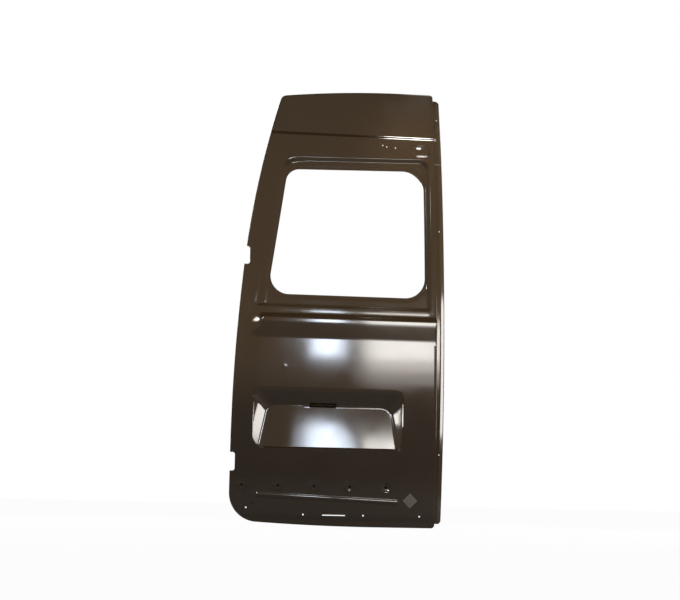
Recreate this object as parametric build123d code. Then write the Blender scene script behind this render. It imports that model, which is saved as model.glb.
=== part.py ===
"""Shell of a van's left-hand rear barn door: pressed outer skin, inner pan, closing strips and reinforcements.

X runs across the door from its hinge edge, Y into the vehicle and Z up from its lower edge, in millimetres.
The finished pieces are moved so that the origin lies on the lower hinge seat.
"""
import math
import os

from build123d import *

# Sheets and laps
SHEET = 1.2
LAP_GAP = 0.2
HEM_WIDTH = 10.0

# Door outline and its barrelled outer face
DOOR_WIDTH = 848.0
DOOR_HEIGHT = 1836.0
BARREL_RADIUS = 6160.0
BARREL_APEX_Z = 400.0
LEFT_STRAIGHT_Z = 290.0
LEFT_BREAK_X = 43.0
LEFT_BREAK_Z = 1064.0
TOP_LEFT_X = 200.0
TOP_LEFT_DROP = 36.0
TOP_FLAT_LENGTH = 108.0
LOWER_EDGE_RISE = 22.0
LOWER_FLAT_LENGTH = 248.0
LOWER_LEFT_RADIUS = 118.0
UPPER_LEFT_RADIUS = 25.0
CLOSING_CORNER_RADIUS = 14.0

# Header crease, measured from the top edge
CREASE_DROP = 201.0
CREASE_STEP = 4.0
CREASE_RUN = 8.0

# Window rebate, glazing flange and aperture
REBATE_DEPTH = 12.0
REBATE_RAMP_FOOT_Z = 893.0
REBATE_RAMP_RUN = 12.0
REBATE_RIGHT_INSET = 26.0
REBATE_TOP_DROP = 309.0
REBATE_RADIUS = 45.0
REBATE_LEFT_MARGIN = 38.0
GLAZING_WIDTH = 15.0
GLAZING_DEPTH = 3.0
WINDOW_SILL_Z = 946.0
WINDOW_TOP_DROP = 358.0
WINDOW_TOP_RISE = 14.0
WINDOW_RIGHT_INSET = 48.0
WINDOW_LEFT_X = 141.0
WINDOW_LEFT_LEAN = 0.156
WINDOW_RADII = (75.0, 85.0, 88.0, 60.0)
WINDOW_COLLAR = 12.0

# Raised lower panel with the swage along its top
RAISE = 4.0
BELT_LINE_Z = 765.0
SWAGE_TOP_Z = 848.0
SWAGE_LEAN = 1.0
WAIST_Z = 866.0
RAISE_LEFT_X = 66.0
RAISE_LEFT_SLOPE = 1.2
RAISE_CORNER_RADIUS = 45.0
RAISE_FOOT_Z = 24.0
RAISE_FOOT_RUN = 20.0

# Number-plate pocket
POCKET_LEFT_X = 89.0
POCKET_RIGHT_X = 708.0
POCKET_TOP_Z = 550.0
POCKET_BOTTOM_Z = 312.0
POCKET_DEPTH = 45.0
POCKET_CEILING_DROP = 62.0
POCKET_FLOOR_LEAN = 27.0
POCKET_LEDGE_RISE = 6.0
POCKET_LEFT_RUN = 62.0
POCKET_RIGHT_RUN = 50.0
POCKET_UPPER_RADIUS = 45.0
POCKET_LOWER_RADIUS = 22.0
POCKET_FLOOR_RADIUS = 8.0
PLATFORM_HEIGHT = 4.0
PLATFORM_MARGIN = 9.0
PLATFORM_RADIUS = 10.0
PLATE_SCREW_X = (295.0, 495.0)
PLATE_SCREW_Z = 432.0
PLATE_SCREW_RADIUS = 4.0
LAMP_OPENING_X = (325.0, 437.0)
LAMP_OPENING_SPAN = (50.0, 70.0)
LAMP_BOX_DEPTH = 16.0
LAMP_BOX_RIM = 8.0

# Dimpled holes, bead and lower holes
DIMPLE_X = (50.0, 197.0, 345.0, 493.0, 642.0)
DIMPLE_Z = 163.0
DIMPLE_FLOOR_RADIUS = 8.0
DIMPLE_SPREAD = 2.2
DIMPLE_DEPTH = 4.0
DIMPLE_HOLE_RADIUS = 4.5
BEAD_START = (117.0, 124.0)
BEAD_END = (689.0, 102.0)
BEAD_RADIUS = 12.0
BEAD_HEIGHT = 4.0
LOWER_HOLE_INSET = 65.0
LOWER_HOLES = ((70.0, 72.0), (98.0, 85.0), (303.0, 47.0), (550.0, 47.0), (DOOR_WIDTH - LOWER_HOLE_INSET, 47.0))
LOWER_HOLE_RADIUS = 4.5
LOWER_SLOT_X = (381.0, 476.0)
LOWER_SLOT_Z = 46.0
LOWER_SLOT_WIDTH = 12.0

# Stop-lamp seat in the header: distances from the closing edge and the top edge
LAMP_HOLES = ((222.0, 237.0), (205.0, 243.0), (168.0, 246.0))
LAMP_HOLE_RADIUS = 4.0
LAMP_DISH_PLACE = (57.0, 256.0)
LAMP_DISH_SIZE = (78.0, 52.0)
LAMP_DISH_DEPTH = 3.0
LAMP_SLOT_PLACE = (54.0, 246.0)
LAMP_SLOT_SIZE = (50.0, 13.0)
LAMP_PLATE_MARGIN = 16.0
LAMP_PLATE_NUT_RADIUS = 2.5
LAMP_ACCESS_PLACE = (130.0, 240.0)
LAMP_ACCESS_SIZE = (220.0, 64.0)

# Inner pan
PAN_DEPTH = 62.0
PAN_RIGHT_INSET = 14.0
PAN_TOP_INSET = 36.0
PAN_BOTTOM_Z = 64.0
PAN_TOP_LEFT_INSET = (26.0, 68.0)
PAN_TOP_FLAT_LENGTH = 208.0
PAN_SHOULDER_X = 155.0
PAN_SHOULDER_DROP = 289.0
PAN_CORNER_RADIUS = 30.0
PAN_CHAMFER = 60.0
ACCESS_LEFT_X = 100.0
ACCESS_RIGHT_INSET = 78.0
ACCESS_MULLION = 50.0
ACCESS_Z = (590.0, 800.0)
ACCESS_RADIUS = 40.0

# Hinge seats in the pan's side wall, with the notches that let the hinge arms through
LOWER_HINGE_Z = 256.0
UPPER_HINGE_Z = 1102.0
LOWER_HINGE_X = 30.0
UPPER_HINGE_X = 78.0
HINGE_SEAT_LENGTH = 100.0
NOTCH_HEIGHT = 74.0
LOWER_NOTCH_X = 20.0
UPPER_NOTCH_X = 66.0
NOTCH_RADIUS = 10.0
PLATE_RADIUS = 4.0
HINGE_BOLT_SPACING = 50.0
HINGE_BOLT_RADIUS = 5.5
SEAT_DEPTH = 32.0
HINGE_PLATE = (4.0, 40.0, 92.0)
WELD_NUT_RADIUS = 9.0
WELD_NUT_HEIGHT = 7.0

# Check-strap, striker and bolt plates
CHECK_SEAT_X = 44.0
CHECK_SEAT_Z = (600.0, 760.0)
CHECK_PLATE = (2.5, 40.0, 90.0)
CHECK_SLOT = (16.0, 34.0)
STRIKER_Z = 700.0
STRIKER_PLATE = (3.0, 38.0, 110.0)
STRIKER_HOLE_SPACING = 60.0
STRIKER_HOLE_RADIUS = 4.5
BOLT_PLATE_INSET = 83.0
BOLT_PLATE = (70.0, 38.0, 3.0)
BOLT_HOLE_RADIUS = 8.0

# Rails between the panels
RAIL_FLANGE = 14.0
RAIL_END_GAP = 6.0
WAIST_RAIL_Z = (868.0, 928.0)
WAIST_RAIL_RISE = 22.0
HEADER_RAIL_DROP = (191.0, 111.0)
HEADER_RAIL_RISE = 26.0
LOWER_RAIL_Z = (150.0, 214.0)
LOWER_RAIL_RISE = 26.0
STIFFENER_Z = (648.0, 732.0)
STIFFENER_RISE = 26.0
MASTIC_THICKNESS = 5.0
MASTIC_LENGTH = 60.0
MASTIC_COUNT = 4

# Closing strip along the right edge
STRIP_SHEET = 1.5
STRIP_TOP_DROP = 26.0
STRIP_FOOT_Z = 18.0
STRIP_JOINT_DROP = 311.0
STRIP_JOINT_GAP = 0.6
STRIP_REACH_TOP = 27.0
STRIP_REACH_MIDDLE = 34.0
STRIP_REACH_FOOT = 28.0
STRIP_LIP = 9.0
STRIP_TOP_HOLE_DROP = 113.0
STRIP_HOLES_Z = (1233.0, 300.0)
STRIP_HOLE_RADIUS = 3.0
STRIP_CHAMFER = 9.0

# Lines along which the panels are divided round the window, the pocket and the access openings
FRAME_CUT = 54.0
POCKET_CUT = 6.0
ACCESS_CUT = 14.0
SIDE_CUT = 16.0
FOOT_CUT_Z = 150.0

# Places worked out from the sizes above
CREASE_Z = DOOR_HEIGHT - CREASE_DROP
REBATE_RIGHT_X = DOOR_WIDTH - REBATE_RIGHT_INSET
REBATE_TOP_Z = DOOR_HEIGHT - REBATE_TOP_DROP
WINDOW_TOP_Z = DOOR_HEIGHT - WINDOW_TOP_DROP
WINDOW_RIGHT_X = DOOR_WIDTH - WINDOW_RIGHT_INSET
PAN_RIGHT_X = DOOR_WIDTH - PAN_RIGHT_INSET
PAN_TOP_Z = DOOR_HEIGHT - PAN_TOP_INSET
BOLT_PLATE_X = DOOR_WIDTH - BOLT_PLATE_INSET
STRIP_JOINT_Z = DOOR_HEIGHT - STRIP_JOINT_DROP
CHECK_MIDDLE_Z = (CHECK_SEAT_Z[0] + CHECK_SEAT_Z[1]) / 2
NOTCH_FOOT_Z = LOWER_HINGE_Z - NOTCH_HEIGHT / 2
NOTCH_TOP_Z = LOWER_HINGE_Z + NOTCH_HEIGHT / 2
FLANGE_FRONT = SHEET + LAP_GAP
HEM_FRONT = FLANGE_FRONT + SHEET + LAP_GAP
HEM_BACK = HEM_FRONT + SHEET
STRIP_FRONT = HEM_BACK + LAP_GAP
PAN_SEAT = PAN_DEPTH - LAP_GAP - SHEET
STIFFENER_SEAT = MASTIC_THICKNESS + 2 * LAP_GAP + 1.5 * SHEET - RAISE

# Block that every cut runs through
BLOCK_MARGIN = 120.0
BLOCK_X = (-BLOCK_MARGIN, DOOR_WIDTH + BLOCK_MARGIN)
BLOCK_Y = (-BLOCK_MARGIN, 4 * BLOCK_MARGIN)
BLOCK_Z = (-BLOCK_MARGIN, DOOR_HEIGHT + BLOCK_MARGIN)


def depth(z, inset=0.0):
    """Y of the barrelled outer face at height z, moved inwards by inset."""
    radius = BARREL_RADIUS - inset
    return BARREL_RADIUS - math.sqrt(radius**2 - (z - BARREL_APEX_Z) ** 2)


def along_x(section, x_range=BLOCK_X):
    """Solid of a (y, z) section between two x values."""
    return extrude(Plane.YZ.offset(x_range[0]) * section, amount=x_range[1] - x_range[0])


def along_y(section, y_range=BLOCK_Y):
    """Solid of an (x, z) section between two y values."""
    return extrude(Plane.XZ.offset(-y_range[0]) * section, amount=y_range[0] - y_range[1])


def along_z(section, z_range=BLOCK_Z):
    """Solid of an (x, y) section between two z values."""
    return extrude(Plane.XY.offset(z_range[0]) * section, amount=z_range[1] - z_range[0])


def polygon(*points):
    """Face of a closed run of straight sides."""
    return make_face(Polyline(*points, close=True))


def rounded(face, points, radii):
    """Face with its corners at the given points rounded, each by its own radius."""
    for point, radius in zip(points, radii):
        corner = face.vertices().sort_by_distance((point[0], point[1], 0))[0]
        face = fillet(corner, radius)
    return face


def grown(section, amount):
    """Section with its sides moved outwards, or inwards where the amount is negative."""
    if amount == 0:
        return section
    return offset(section, amount=amount, kind=Kind.INTERSECTION)


def span(x_range, z_range):
    """Upright block between pairs of x and z values."""
    width = x_range[1] - x_range[0]
    height = z_range[1] - z_range[0]
    centre = ((x_range[0] + x_range[1]) / 2, (z_range[0] + z_range[1]) / 2)
    return along_y(Pos(*centre) * Rectangle(width, height))


def pins_y(points, radius):
    """Round bars along Y at (x, z) points, for cutting holes."""
    return [along_y(Pos(x, z) * Circle(radius)) for x, z in points]


def pins_x(points, radius, x_range):
    """Round bars along X at (y, z) points."""
    return [along_x(Pos(y, z) * Circle(radius), x_range) for y, z in points]


def from_corner(place):
    """Point in (x, z) given by its distances from the closing edge and the top edge."""
    return (DOOR_WIDTH - place[0], DOOR_HEIGHT - place[1])


def door_outline():
    """Outline of the outer skin in (x, z)."""
    top_left = (TOP_LEFT_X, DOOR_HEIGHT - TOP_LEFT_DROP)
    lower_left = (0, LOWER_EDGE_RISE)
    straight_top = (0, LEFT_STRAIGHT_Z)
    left_break = (LEFT_BREAK_X, LEFT_BREAK_Z)
    top_flat = (DOOR_WIDTH - TOP_FLAT_LENGTH, DOOR_HEIGHT)
    lower_flat = (DOOR_WIDTH - LOWER_FLAT_LENGTH, 0)
    top_right = (DOOR_WIDTH, DOOR_HEIGHT)
    lower_right = (DOOR_WIDTH, 0)
    left_side = Line(lower_left, straight_top)
    left_lower = TangentArc(straight_top, left_break, tangent=(0, 1))
    left_upper = TangentArc(left_break, top_left, tangent=left_lower % 1)
    top_arc = TangentArc(top_flat, top_left, tangent=(-1, 0))
    closing_side = Polyline(top_flat, top_right, lower_right, lower_flat)
    lower_arc = TangentArc(lower_flat, lower_left, tangent=(-1, 0))
    face = make_face([left_side, left_lower, left_upper, top_arc, closing_side, lower_arc])
    corners = (lower_left, top_left, top_right, lower_right)
    radii = (LOWER_LEFT_RADIUS, UPPER_LEFT_RADIUS, CLOSING_CORNER_RADIUS, CLOSING_CORNER_RADIUS)
    return rounded(face, corners, radii)


def window_left(z):
    """X of the window's slanted left side at height z."""
    return WINDOW_LEFT_X + WINDOW_LEFT_LEAN * (z - WINDOW_SILL_Z)


def window_outline():
    """Window aperture in (x, z)."""
    corners = (
        (WINDOW_LEFT_X, WINDOW_SILL_Z),
        (WINDOW_RIGHT_X, WINDOW_SILL_Z),
        (WINDOW_RIGHT_X, WINDOW_TOP_Z + WINDOW_TOP_RISE),
        (window_left(WINDOW_TOP_Z), WINDOW_TOP_Z),
    )
    return rounded(polygon(*corners), corners, WINDOW_RADII)


def rebate_outline():
    """Edge of the sunk window surround in (x, z)."""
    foot = REBATE_RAMP_FOOT_Z - REBATE_RAMP_RUN
    upper = (
        (REBATE_RIGHT_X, REBATE_TOP_Z + WINDOW_TOP_RISE),
        (window_left(REBATE_TOP_Z) - REBATE_LEFT_MARGIN, REBATE_TOP_Z),
    )
    lower = ((window_left(foot) - REBATE_LEFT_MARGIN, foot), (REBATE_RIGHT_X, foot))
    return rounded(polygon(*lower, *upper), upper, (REBATE_RADIUS, REBATE_RADIUS))


def barrel(inset):
    """Everything behind the plain barrelled face."""
    low, high = BLOCK_Z
    middle = (low + high) / 2
    foot = (depth(low, inset), low)
    head = (depth(high, inset), high)
    face_line = ThreePointArc(foot, (depth(middle, inset), middle), head)
    back_line = Polyline(head, (BLOCK_Y[1], high), (BLOCK_Y[1], low), foot)
    return along_x(make_face([face_line, back_line]))


def above_crease(inset):
    """Air over the header crease, down to the stepped-in face."""
    start = CREASE_Z - CREASE_RUN / 2
    end = CREASE_Z + CREASE_RUN / 2
    reach = 5 * CREASE_STEP
    rise = CREASE_RUN / (depth(end, CREASE_STEP) - depth(start)) * reach
    ramp_front = (depth(start) - reach, start - rise)
    ramp_back = (depth(end, CREASE_STEP) + reach, end + rise)
    section = polygon(
        ramp_front,
        ramp_back,
        (BLOCK_Y[1], ramp_back[1]),
        (BLOCK_Y[1], BLOCK_Z[1] + reach),
        (ramp_front[0], BLOCK_Z[1] + reach),
    )
    return along_x(grown(section, inset)) - barrel(CREASE_STEP + inset)


def raised_face(z):
    """Y of the raised panel's outer face at height z, below the belt line."""
    return depth(z, -RAISE)


def raised_section():
    """Section of the raised panel in (y, z): foot ramp, barrelled face, swage and waist ramp."""
    foot_top_z = RAISE_FOOT_Z + RAISE_FOOT_RUN
    middle = (foot_top_z + BELT_LINE_Z) / 2
    foot = Vector(depth(RAISE_FOOT_Z), RAISE_FOOT_Z)
    foot_top = Vector(raised_face(foot_top_z), foot_top_z)
    belt = Vector(raised_face(BELT_LINE_Z), BELT_LINE_Z)
    swage = Vector(belt.X - SWAGE_LEAN, SWAGE_TOP_Z)
    waist = Vector(depth(WAIST_Z), WAIST_Z)
    inside_foot = foot + (foot - foot_top)
    inside_waist = waist + (waist - swage) / 2
    panel = ThreePointArc(foot_top, (raised_face(middle), middle), belt)
    upper = Polyline(belt, swage, inside_waist, (BLOCK_Y[1], inside_waist.Y))
    lower = Polyline((BLOCK_Y[1], inside_waist.Y), (BLOCK_Y[1], inside_foot.Y), inside_foot, foot_top)
    return make_face([panel, upper, lower])


def raised_block(inset):
    """Solid of the raised panel, with its ramped left side."""
    lean = RAISE_LEFT_SLOPE * BLOCK_MARGIN
    plan = polygon(
        (RAISE_LEFT_X + lean, -BLOCK_MARGIN),
        (RAISE_LEFT_X - lean, BLOCK_MARGIN),
        (BLOCK_X[1], BLOCK_MARGIN),
        (BLOCK_X[1], -BLOCK_MARGIN),
    )
    top_left = (RAISE_LEFT_X, WAIST_Z)
    front = polygon(top_left, (RAISE_LEFT_X, BLOCK_Z[0]), (BLOCK_X[1], BLOCK_Z[0]), (BLOCK_X[1], WAIST_Z))
    front = grown(rounded(front, (top_left,), (RAISE_CORNER_RADIUS,)), RAISE_CORNER_RADIUS / 4 - inset)
    return along_x(grown(raised_section(), -inset)) & along_z(grown(plan, -inset)) & along_y(front)


def rebate_block(inset):
    """Air over the sunk window surround, with its ramped sill."""
    front, back = BLOCK_Y
    foot = depth(REBATE_RAMP_FOOT_Z)
    head_z = REBATE_RAMP_FOOT_Z + REBATE_RAMP_RUN
    slope = REBATE_RAMP_RUN / (depth(head_z, REBATE_DEPTH) - foot)
    top = BLOCK_Z[1] + back * slope
    section = polygon(
        (front, REBATE_RAMP_FOOT_Z + (front - foot) * slope),
        (back, REBATE_RAMP_FOOT_Z + (back - foot) * slope),
        (back, top),
        (front, top),
    )
    air = along_x(grown(section, inset)) & along_y(grown(rebate_outline(), inset))
    return air - barrel(REBATE_DEPTH + inset)


def glazing_block(inset):
    """Air over the glazing flange, one step below the rebate."""
    air = along_y(grown(window_outline(), GLAZING_WIDTH + inset))
    return air - barrel(REBATE_DEPTH + GLAZING_DEPTH + inset)


def panel_mass(inset):
    """Everything behind the door's main pressed face: crease, window steps and raised lower panel."""
    mass = barrel(inset) + raised_block(inset)
    return mass - above_crease(inset) - rebate_block(inset) - glazing_block(inset)


def pocket_corners():
    """Mouth, floor top and floor foot of the pocket's section in (y, z)."""
    mouth = (raised_face(POCKET_TOP_Z), POCKET_TOP_Z)
    floor_top = (mouth[0] + POCKET_DEPTH, POCKET_TOP_Z - POCKET_CEILING_DROP)
    floor_foot = (floor_top[0] - POCKET_FLOOR_LEAN, POCKET_BOTTOM_Z + POCKET_LEDGE_RISE)
    return mouth, floor_top, floor_foot


def plate_platform(inset):
    """Flat pad for the number plate, standing off the pocket's floor."""
    _, floor_top, floor_foot = pocket_corners()
    left = POCKET_LEFT_X + POCKET_LEFT_RUN
    right = POCKET_RIGHT_X - POCKET_RIGHT_RUN
    left_spread = POCKET_LEFT_RUN * POCKET_FLOOR_LEAN / POCKET_DEPTH
    right_spread = POCKET_RIGHT_RUN * POCKET_FLOOR_LEAN / POCKET_DEPTH
    low = floor_foot[1]
    high = floor_top[1]
    corners = ((left - left_spread, low), (right + right_spread, low), (right, high), (left, high))
    outline = grown(polygon(*corners), -PLATFORM_MARGIN)
    outline = fillet(outline.vertices(), PLATFORM_RADIUS)
    section = polygon(
        (floor_foot[0] - PLATFORM_HEIGHT, floor_foot[1]),
        (floor_top[0] - PLATFORM_HEIGHT, floor_top[1]),
        (BLOCK_Y[1], floor_top[1]),
        (BLOCK_Y[1], floor_foot[1]),
    )
    return along_y(grown(outline, -inset)) & along_x(grown(section, -inset))


def pocket_block(inset):
    """Air in the number-plate pocket, round the plate's pad."""
    mouth, floor_top, floor_foot = pocket_corners()
    front = -2 * POCKET_DEPTH
    back = 2 * POCKET_DEPTH
    ceiling = POCKET_CEILING_DROP / POCKET_DEPTH
    ledge = POCKET_LEDGE_RISE / POCKET_DEPTH
    section = polygon(
        (front, POCKET_TOP_Z - (front - mouth[0]) * ceiling),
        floor_top,
        floor_foot,
        (front, floor_foot[1] + (front - floor_foot[0]) * ledge),
    )
    left = POCKET_LEFT_RUN / POCKET_DEPTH
    right = POCKET_RIGHT_RUN / POCKET_DEPTH
    plan = polygon(
        (POCKET_LEFT_X + (front - mouth[0]) * left, front),
        (POCKET_LEFT_X + (back - mouth[0]) * left, back),
        (POCKET_RIGHT_X - (back - mouth[0]) * right, back),
        (POCKET_RIGHT_X - (front - mouth[0]) * right, front),
    )
    air = along_x(grown(section, inset)) & along_z(grown(plan, inset))
    floor = air.faces().sort_by(Axis.Y)[-1]
    lid = air.faces().sort_by(Axis.Y)[0]
    sides = [edge for edge in air.edges() if edge not in floor.edges() and edge not in lid.edges()]
    sides.sort(key=lambda edge: edge.center().Z)
    air = fillet(sides[:2], POCKET_LOWER_RADIUS + inset)
    upper_points = [edge.center() for edge in sides[2:]]
    upper_sides = [air.edges().sort_by_distance(point)[0] for point in upper_points]
    air = fillet(upper_sides, POCKET_UPPER_RADIUS + inset)
    floor = air.faces().sort_by(Axis.Y)[-1]
    air = fillet(floor.edges(), POCKET_FLOOR_RADIUS + inset)
    return air - plate_platform(inset)


def dimple_block(x, z, inset):
    """Air in the shallow cone around one dimpled hole."""
    level = raised_face(z) if x > RAISE_LEFT_X else depth(z)
    reach = 3 * DIMPLE_DEPTH
    wide = DIMPLE_FLOOR_RADIUS + inset + reach * DIMPLE_SPREAD
    cone = Cone(DIMPLE_FLOOR_RADIUS + inset, wide, reach, align=(Align.CENTER, Align.CENTER, Align.MIN))
    return Pos(x, level + DIMPLE_DEPTH + inset, z) * Rot(90, 0, 0) * cone


def bead_block(inset):
    """Round bar that stands out of the panel as the long bead."""
    radius = BEAD_RADIUS - inset
    sunk = BEAD_RADIUS - BEAD_HEIGHT
    start, end = (Vector(x, raised_face(z) + sunk, z) for x, z in (BEAD_START, BEAD_END))
    direction = end - start
    bar = extrude(Plane(origin=start, z_dir=direction) * Circle(radius), amount=direction.length)
    return bar + [Pos(*point) * Sphere(radius) for point in (start, end)]


def lamp_dish(inset):
    """Air in the oval dish of the stop-lamp seat."""
    oval = Pos(*from_corner(LAMP_DISH_PLACE)) * SlotOverall(*LAMP_DISH_SIZE)
    return along_y(grown(oval, inset)) - barrel(LAMP_DISH_DEPTH + inset)


def skin_mass(inset):
    """Everything behind the outer skin, with all of its pressed forms."""
    mass = panel_mass(inset) + bead_block(inset) - pocket_block(inset) - lamp_dish(inset)
    return mass - [dimple_block(x, DIMPLE_Z, inset) for x in DIMPLE_X]


def notch_blocks():
    """Cuts for the hinge arms in the left edge."""
    blocks = []
    for right, z in ((LOWER_NOTCH_X, LOWER_HINGE_Z), (UPPER_NOTCH_X, UPPER_HINGE_Z)):
        width = right - BLOCK_X[0]
        shape = Pos(right - width / 2, z) * RectangleRounded(width, NOTCH_HEIGHT, NOTCH_RADIUS)
        blocks.append(along_y(shape))
    return blocks


def ceiling_block(run_range, rise_range, x_range):
    """Block set square to the pocket's ceiling: runs down it from the mouth, rises into the panel."""
    mouth, floor_top, _ = pocket_corners()
    down = Vector(floor_top[0] - mouth[0], floor_top[1] - mouth[1]).normalized()
    inward = Vector(-down.Y, down.X)
    start = Vector(*mouth)
    corners = [
        start + down * run_range[i] + inward * rise_range[j] for i, j in ((0, 0), (1, 0), (1, 1), (0, 1))
    ]
    return along_x(polygon(*corners), x_range)


def lower_holes():
    """Cuts for the holes and the slot along the foot, through the skin and the flange behind it."""
    middle = (LOWER_SLOT_X[0] + LOWER_SLOT_X[1]) / 2
    length = LOWER_SLOT_X[1] - LOWER_SLOT_X[0]
    slot = along_y(Pos(middle, LOWER_SLOT_Z) * SlotOverall(length, LOWER_SLOT_WIDTH))
    return [*pins_y(LOWER_HOLES, LOWER_HOLE_RADIUS), slot]


def outer_skin():
    """Pressed outer panel with its edge hemmed round the pan's flange."""
    outline = door_outline()
    pressed = (skin_mass(0) - skin_mass(SHEET)) & along_y(outline)
    edge_band = along_y(outline) - along_y(grown(outline, -SHEET))
    edge = (panel_mass(SHEET / 2) - panel_mass(HEM_BACK)) & edge_band
    hem_band = along_y(outline) - along_y(grown(outline, -HEM_WIDTH))
    hem = (panel_mass(HEM_FRONT) - panel_mass(HEM_BACK)) & hem_band
    skin = pressed + edge + hem
    skin -= along_y(window_outline())
    skin -= notch_blocks()
    skin -= pins_y([(x, DIMPLE_Z) for x in DIMPLE_X], DIMPLE_HOLE_RADIUS)
    skin -= lower_holes()
    skin -= pins_y([from_corner(place) for place in LAMP_HOLES], LAMP_HOLE_RADIUS)
    skin -= pins_y([(x, PLATE_SCREW_Z) for x in PLATE_SCREW_X], PLATE_SCREW_RADIUS)
    skin -= along_y(Pos(*from_corner(LAMP_SLOT_PLACE)) * SlotOverall(*LAMP_SLOT_SIZE))
    return skin - ceiling_block(LAMP_OPENING_SPAN, (-LAMP_BOX_RIM, LAMP_BOX_RIM), LAMP_OPENING_X)


def hinge_side_stations():
    """Points in (x, z) of the pan's hinge-side wall, upright at the hinge and check-strap seats."""
    half = HINGE_SEAT_LENGTH / 2
    return (
        (LOWER_HINGE_X, PAN_BOTTOM_Z + PAN_CHAMFER),
        (LOWER_HINGE_X, LOWER_HINGE_Z + half),
        (CHECK_SEAT_X, CHECK_SEAT_Z[0]),
        (CHECK_SEAT_X, CHECK_SEAT_Z[1]),
        (UPPER_HINGE_X, UPPER_HINGE_Z - half),
        (UPPER_HINGE_X, UPPER_HINGE_Z + half),
        (PAN_SHOULDER_X, DOOR_HEIGHT - PAN_SHOULDER_DROP),
        (TOP_LEFT_X + PAN_TOP_LEFT_INSET[0], DOOR_HEIGHT - PAN_TOP_LEFT_INSET[1]),
    )


def hinge_side_x(z):
    """X of the pan's hinge-side wall at height z."""
    stations = hinge_side_stations()
    for (x_low, low), (x_high, high) in zip(stations, stations[1:]):
        if z <= high:
            return x_low + (x_high - x_low) * (z - low) / (high - low)
    return stations[-1][0]


def pan_outline():
    """Inner face of the pan's side walls in (x, z)."""
    top_left = hinge_side_stations()[-1]
    top_right = (PAN_RIGHT_X, PAN_TOP_Z)
    lower_right = (PAN_RIGHT_X, PAN_BOTTOM_Z)
    face = polygon(
        *hinge_side_stations(),
        (PAN_RIGHT_X - PAN_TOP_FLAT_LENGTH, PAN_TOP_Z),
        top_right,
        lower_right,
        (LOWER_HINGE_X + PAN_CHAMFER, PAN_BOTTOM_Z),
    )
    return rounded(face, (top_left, top_right, lower_right), (PAN_CORNER_RADIUS,) * 3)


def pan_air(inset):
    """Space between the panels: inside the pan's walls, round the window's return."""
    ring = along_y(grown(pan_outline(), inset)) - along_y(grown(window_outline(), WINDOW_COLLAR - inset))
    return ring - barrel(PAN_DEPTH + inset)


def pan_mass(inset):
    """Everything behind the inner panel's front face."""
    return panel_mass(FLANGE_FRONT + inset) - pan_air(inset)


def access_ranges():
    """X ranges of the two access openings."""
    right = DOOR_WIDTH - ACCESS_RIGHT_INSET
    middle = (ACCESS_LEFT_X + right) / 2
    half = ACCESS_MULLION / 2
    return ((ACCESS_LEFT_X, middle - half), (middle + half, right))


def seat_points(z, spacing):
    """Places in (y, z) of a pair of holes on a side-wall seat."""
    level = depth(z) + SEAT_DEPTH
    return [(level, z - spacing / 2), (level, z + spacing / 2)]


def seat_plate(z, width, height):
    """Outline in (y, z) of a reinforcement plate on a side-wall seat."""
    return Pos(depth(z) + SEAT_DEPTH, z) * RectangleRounded(width, height, PLATE_RADIUS)


def check_slot():
    """Cut for the check strap in the hinge-side wall."""
    shape = seat_plate(CHECK_MIDDLE_Z, *CHECK_SLOT)
    return along_x(shape, (CHECK_SEAT_X - 2 * SHEET, CHECK_SEAT_X + 2 * CHECK_PLATE[0]))


def striker_holes():
    """Cuts for the two striker screws in the closing-side wall."""
    points = seat_points(STRIKER_Z, STRIKER_HOLE_SPACING)
    return pins_x(points, STRIKER_HOLE_RADIUS, (PAN_RIGHT_X - PAN_RIGHT_INSET, PAN_RIGHT_X + SHEET))


def bolt_holes():
    """Cuts for the door's bolts in the pan's top and bottom walls."""
    reach = BOLT_PLATE[2] + 2 * SHEET
    cuts = []
    for wall in (PAN_TOP_Z, PAN_BOTTOM_Z):
        shape = Pos(BOLT_PLATE_X, depth(wall) + SEAT_DEPTH) * Circle(BOLT_HOLE_RADIUS)
        cuts.append(along_z(shape, (wall - reach, wall + reach)))
    return cuts


def inner_panel():
    """Pressed inner pan, flanged into the skin's hem and round the window."""
    trim = grown(door_outline(), -SHEET - LAP_GAP)
    pan = (pan_mass(0) - pan_mass(SHEET)) & along_y(trim)
    pan -= along_y(window_outline())
    pan -= notch_blocks()
    pan -= lower_holes()
    lamp_access = Pos(*from_corner(LAMP_ACCESS_PLACE)) * RectangleRounded(*LAMP_ACCESS_SIZE, PAN_CORNER_RADIUS)
    pan -= along_y(lamp_access, (depth(CREASE_Z) + PAN_DEPTH / 2, BLOCK_Y[1]))
    height = ACCESS_Z[1] - ACCESS_Z[0]
    middle_z = (ACCESS_Z[0] + ACCESS_Z[1]) / 2
    for left, right in access_ranges():
        opening = Pos((left + right) / 2, middle_z) * RectangleRounded(right - left, height, ACCESS_RADIUS)
        pan -= along_y(opening, (depth(middle_z) + PAN_DEPTH / 2, BLOCK_Y[1]))
    for x, z in ((LOWER_HINGE_X, LOWER_HINGE_Z), (UPPER_HINGE_X, UPPER_HINGE_Z)):
        pan -= pins_x(seat_points(z, HINGE_BOLT_SPACING), HINGE_BOLT_RADIUS, (x - 2 * SHEET, x + SHEET))
    return pan - check_slot() - striker_holes() - bolt_holes()


def hinge_plate(x, z):
    """Reinforcement inside a hinge seat, with two weld nuts."""
    thickness, width, height = HINGE_PLATE
    front = x + LAP_GAP
    back = front + thickness
    nut_back = back + WELD_NUT_HEIGHT
    bolts = seat_points(z, HINGE_BOLT_SPACING)
    plate = along_x(seat_plate(z, width, height), (front, back))
    plate += pins_x(bolts, WELD_NUT_RADIUS, (back, nut_back))
    return plate - pins_x(bolts, HINGE_BOLT_RADIUS, (front, nut_back))


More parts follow.
